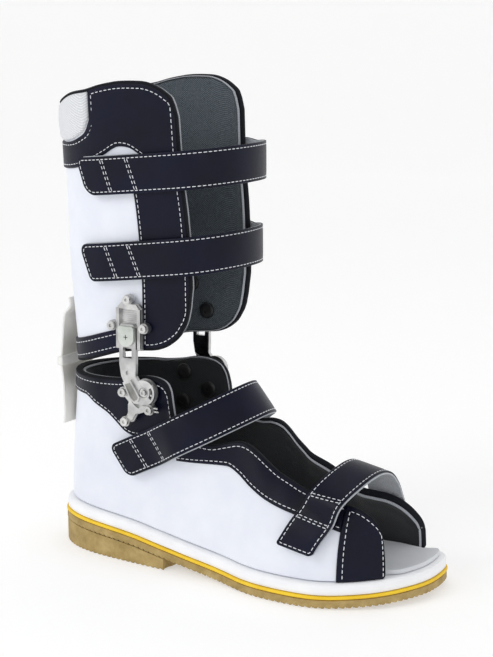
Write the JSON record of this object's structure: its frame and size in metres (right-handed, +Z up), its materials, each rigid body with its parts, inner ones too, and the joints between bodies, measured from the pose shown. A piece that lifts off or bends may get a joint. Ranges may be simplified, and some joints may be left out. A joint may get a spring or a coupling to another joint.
{
  "type": "ankle foot orthosis",
  "caption": "Open-toed orthopaedic shoe joined by two adjustable metal ankle uprights to a padded lower-leg cuff, closed by hook and loop straps.",
  "frame": {"origin": "centre of the heel's ground face", "axes": "+Z up along the leg, +X to the toe, +Y to the inner side of a right foot"},
  "size_m": [0.2772, 0.11, 0.322],
  "materials": {
    "white_leather": "smooth satin leather",
    "navy_leather": "fine grain leather with white stitching",
    "grey_mesh": "knitted spacer mesh",
    "white_mesh": "white spacer mesh",
    "tan_rubber": "matt moulded rubber",
    "yellow_rubber": "matt moulded rubber",
    "white_rubber": "satin moulded rubber",
    "insole_leather": "smooth insole leather",
    "elastic_web": "ribbed elastic webbing",
    "hook_fabric": "loop pile tape",
    "satin_metal": "satin, bead blasted",
    "clear_plastic": "moulded buckle plastic"
  },
  "bodies": {
    "shoe": {"heel_block": "tan_rubber", "outsole": "tan_rubber", "sole_accent_layer": "yellow_rubber", "welt": "white_rubber", "insole": "insole_leather", "shoe_quarters": "white_leather", "shoe_lining": "grey_mesh", "ankle_collar_overlay": "navy_leather", "lateral_vamp_band": "navy_leather", "medial_vamp_band": "navy_leather", "lateral_toe_band": "navy_leather", "medial_toe_band": "navy_leather", "lateral_foot_plate": "satin_metal", "medial_foot_plate": "satin_metal", "lateral_foot_plate_bolt_1": "satin_metal", "medial_foot_plate_bolt_1": "satin_metal", "lateral_foot_plate_bolt_2": "satin_metal", "medial_foot_plate_bolt_2": "satin_metal", "lateral_foot_plate_bolt_3": "satin_metal", "medial_foot_plate_bolt_3": "satin_metal", "instep_strap_root": "navy_leather", "instep_strap_landing": "hook_fabric", "toe_strap_root": "navy_leather", "toe_strap_landing": "hook_fabric", "rear_elastic_lower": "elastic_web"},
    "uprights": {"lateral_upright_link": "satin_metal", "medial_upright_link": "satin_metal", "lateral_clamp_cover": "satin_metal", "medial_clamp_cover": "satin_metal", "lateral_pivot_bushing": "satin_metal", "medial_pivot_bushing": "satin_metal", "lateral_pivot_screw": "satin_metal", "medial_pivot_screw": "satin_metal", "rear_elastic_slider": "clear_plastic"},
    "cuff": {"cuff_shell": "white_leather", "cuff_lining": "grey_mesh", "lateral_front_facing": "navy_leather", "medial_front_facing": "navy_leather", "cuff_lower_band": "navy_leather", "cuff_top_overlay": "navy_leather", "rear_collar_pad": "white_mesh", "lateral_bracket": "satin_metal", "medial_bracket": "satin_metal", "lateral_bracket_bolt_1": "satin_metal", "medial_bracket_bolt_1": "satin_metal", "lateral_bracket_bolt_2": "satin_metal", "medial_bracket_bolt_2": "satin_metal", "lateral_bracket_bolt_3": "satin_metal", "medial_bracket_bolt_3": "satin_metal", "upper_calf_strap_root": "navy_leather", "upper_calf_strap_landing": "hook_fabric", "lower_calf_strap_root": "navy_leather", "lower_calf_strap_landing": "hook_fabric", "rear_elastic_upper": "elastic_web"},
    "upper_calf_strap_tail": {"upper_calf_strap": "navy_leather"},
    "lower_calf_strap_tail": {"lower_calf_strap": "navy_leather"},
    "instep_strap_tail": {"instep_strap": "navy_leather"},
    "toe_strap_tail": {"toe_strap": "navy_leather"}
  },
  "joints": [
    {"name": "ankle_flex", "type": "hinge", "parent": "shoe", "child": "uprights", "pos_m": [0.043, 0, 0.1215], "axis": [0, 1, 0], "range_deg": [-3, 18], "deforming": ["rear_elastic_lower"]},
    {"name": "height_adjust", "type": "slide", "parent": "uprights", "child": "cuff", "axis": [0, 0, 1], "range_m": [-0.0025, 0.004], "deforming": ["rear_elastic_upper"]},
    {"name": "upper_calf_strap_opening", "type": "hinge", "parent": "cuff", "child": "upper_calf_strap_tail", "pos_m": [0.0648, 0.0466, 0.2697], "axis": [0.045, -0.004, 0.999], "range_deg": [0, 95]},
    {"name": "lower_calf_strap_opening", "type": "hinge", "parent": "cuff", "child": "lower_calf_strap_tail", "pos_m": [0.0647, 0.045, 0.2146], "axis": [0.052, -0.005, 0.9986], "range_deg": [0, 95]},
    {"name": "instep_strap_opening", "type": "hinge", "parent": "shoe", "child": "instep_strap_tail", "pos_m": [0.065, 0.0423, 0.0903], "axis": [-0.5961, 0.111, 0.7952], "range_deg": [0, 85]},
    {"name": "toe_strap_opening", "type": "hinge", "parent": "shoe", "child": "toe_strap_tail", "pos_m": [0.1772, 0.0411, 0.0544], "axis": [-0.9951, -0.047, 0.087], "range_deg": [0, 85]}
  ]
}
